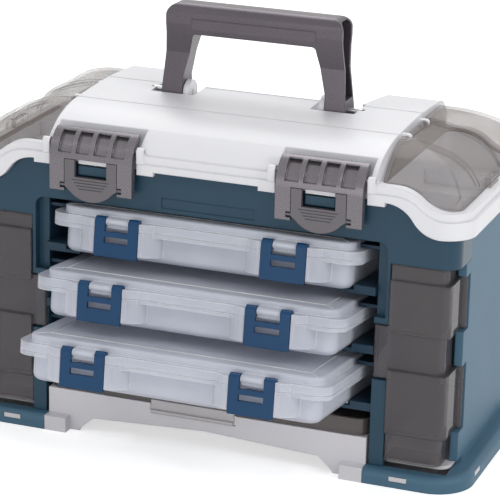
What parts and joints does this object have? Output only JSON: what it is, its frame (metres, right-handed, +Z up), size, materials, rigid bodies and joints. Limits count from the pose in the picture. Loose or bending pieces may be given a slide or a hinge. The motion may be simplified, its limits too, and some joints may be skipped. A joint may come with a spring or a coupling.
{
  "type": "tackle cabinet",
  "caption": "Carry-along tackle cabinet with a hinged lid, end wells under smoke covers, corner doors, sloping racks of clear utility boxes and a shallow base drawer.",
  "frame": {"origin": "middle of the whole outline in plan, on the floor under the foot skirt", "axes": "+X to the user's right along the long side, +Y from the front with the boxes to the rear hinge, +Z up"},
  "size_m": [0.472, 0.302, 0.369],
  "materials": {
    "case_shell": "moulded polypropylene, fine grain",
    "case_front": "moulded polypropylene, smooth",
    "case_liner": "moulded polypropylene",
    "base_plastic": "moulded polypropylene, light grey",
    "drawer_plastic": "moulded styrene, grey",
    "pull_plastic": "moulded styrene, dark grey",
    "box_clear": "clear moulded polypropylene",
    "box_blue": "blue moulded polypropylene",
    "door_smoke": "smoke-tinted polycarbonate",
    "cover_smoke": "smoke-tinted polycarbonate",
    "lid_white": "moulded polypropylene, white",
    "divider_clear": "clear moulded polypropylene",
    "latch_grey": "metallic grey nylon",
    "paddle_grey": "metallic grey nylon",
    "handle_grey": "metallic dark grey nylon",
    "steel_pin": "drawn steel rod"
  },
  "bodies": {
    "case": {"front_frame": "case_front", "outer_shell": "case_shell", "base_tray": "base_plastic", "left_rack": "case_liner", "right_rack": "case_liner", "bulk_tray": "case_liner", "lid_hinge_pins": "steel_pin"},
    "lid": {"lid_shell": "lid_white", "left_well_dividers": "divider_clear", "right_well_dividers": "divider_clear", "handle_pins": "steel_pin"},
    "handle": {"handle": "handle_grey"},
    "left_cover": {"left_end_cover": "cover_smoke"},
    "right_cover": {"right_end_cover": "cover_smoke"},
    "left_latch": {"left_latch_frame": "latch_grey"},
    "right_latch": {"right_latch_frame": "latch_grey"},
    "left_paddle": {"left_latch_paddle": "paddle_grey"},
    "right_paddle": {"right_latch_paddle": "paddle_grey"},
    "left_door": {"left_bait_door": "door_smoke"},
    "right_door": {"right_bait_door": "door_smoke"},
    "drawer": {"base_drawer": "drawer_plastic", "drawer_pull": "pull_plastic"},
    "box_1": {"box_1_tub": "box_clear", "box_1_lid": "box_clear", "box_1_dividers": "divider_clear"},
    "box_1_left_latch": {"box_1_left_latch": "box_blue"},
    "box_1_right_latch": {"box_1_right_latch": "box_blue"},
    "box_2": {"box_2_tub": "box_clear", "box_2_lid": "box_clear", "box_2_dividers": "divider_clear"},
    "box_2_left_latch": {"box_2_left_latch": "box_blue"},
    "box_2_right_latch": {"box_2_right_latch": "box_blue"},
    "box_3": {"box_3_tub": "box_clear", "box_3_lid": "box_clear", "box_3_dividers": "divider_clear"},
    "box_3_left_latch": {"box_3_left_latch": "box_blue"},
    "box_3_right_latch": {"box_3_right_latch": "box_blue"}
  },
  "joints": [
    {"name": "lid_hinge", "type": "hinge", "parent": "case", "child": "lid", "pos_m": [0, 0.14655, 0.241], "axis": [-1, 0, 0], "range_deg": [0, 100]},
    {"name": "handle_fold", "type": "hinge", "parent": "lid", "child": "handle", "pos_m": [0, 0.05455, 0.288], "axis": [-1, 0, 0], "range_deg": [0, 88]},
    {"name": "right_cover_hinge", "type": "hinge", "parent": "lid", "child": "right_cover", "pos_m": [0.1522, 0.03455, 0.2835], "axis": [0, -1, 0], "range_deg": [0, 105]},
    {"name": "left_cover_hinge", "type": "hinge", "parent": "lid", "child": "left_cover", "pos_m": [-0.1522, 0.03455, 0.2835], "axis": [0, 1, 0], "range_deg": [0, 105]},
    {"name": "right_latch_hinge", "type": "hinge", "parent": "lid", "child": "right_latch", "pos_m": [0.1023, -0.06385, 0.264], "axis": [-1, 0, 0], "range_deg": [0, 70]},
    {"name": "right_paddle_hinge", "type": "hinge", "parent": "right_latch", "child": "right_paddle", "pos_m": [0.1023, -0.06995, 0.229], "axis": [1, 0, 0], "range_deg": [0, 12], "stiffness_Nm_per_rad": 0.05, "springref_deg": -5.73},
    {"name": "right_door_hinge", "type": "hinge", "parent": "case", "child": "right_door", "pos_m": [0.216, -0.02245, 0.107], "axis": [0, 0, 1], "range_deg": [0, 105]},
    {"name": "left_latch_hinge", "type": "hinge", "parent": "lid", "child": "left_latch", "pos_m": [-0.1023, -0.06385, 0.264], "axis": [-1, 0, 0], "range_deg": [0, 70]},
    {"name": "left_paddle_hinge", "type": "hinge", "parent": "left_latch", "child": "left_paddle", "pos_m": [-0.1023, -0.06995, 0.229], "axis": [1, 0, 0], "range_deg": [0, 12], "stiffness_Nm_per_rad": 0.05, "springref_deg": -5.73},
    {"name": "left_door_hinge", "type": "hinge", "parent": "case", "child": "left_door", "pos_m": [-0.216, -0.02245, 0.107], "axis": [0, 0, -1], "range_deg": [0, 105]},
    {"name": "box_1_slide", "type": "slide", "parent": "case", "child": "box_1", "axis": [0, -0.9925, 0.1219], "range_m": [0, 0.15]},
    {"name": "box_1_right_latch_hinge", "type": "hinge", "parent": "box_1", "child": "box_1_right_latch", "pos_m": [0.0753, -0.07362, 0.20225], "axis": [-1, 0, 0], "range_deg": [0, 95]},
    {"name": "box_1_left_latch_hinge", "type": "hinge", "parent": "box_1", "child": "box_1_left_latch", "pos_m": [-0.0753, -0.07362, 0.20225], "axis": [-1, 0, 0], "range_deg": [0, 95]},
    {"name": "box_2_slide", "type": "slide", "parent": "case", "child": "box_2", "axis": [0, -0.9925, 0.1219], "range_m": [0, 0.15]},
    {"name": "box_2_right_latch_hinge", "type": "hinge", "parent": "box_2", "child": "box_2_right_latch", "pos_m": [0.0753, -0.10837, 0.155], "axis": [-1, 0, 0], "range_deg": [0, 95]},
    {"name": "box_2_left_latch_hinge", "type": "hinge", "parent": "box_2", "child": "box_2_left_latch", "pos_m": [-0.0753, -0.10837, 0.155], "axis": [-1, 0, 0], "range_deg": [0, 95]},
    {"name": "box_3_slide", "type": "slide", "parent": "case", "child": "box_3", "axis": [0, -0.9925, 0.1219], "range_m": [0, 0.15]},
    {"name": "box_3_right_latch_hinge", "type": "hinge", "parent": "box_3", "child": "box_3_right_latch", "pos_m": [0.0753, -0.14312, 0.10775], "axis": [-1, 0, 0], "range_deg": [0, 95]},
    {"name": "box_3_left_latch_hinge", "type": "hinge", "parent": "box_3", "child": "box_3_left_latch", "pos_m": [-0.0753, -0.14312, 0.10775], "axis": [-1, 0, 0], "range_deg": [0, 95]},
    {"name": "drawer_slide", "type": "slide", "parent": "case", "child": "drawer", "axis": [0, -1, 0], "range_m": [0, 0.12]}
  ]
}
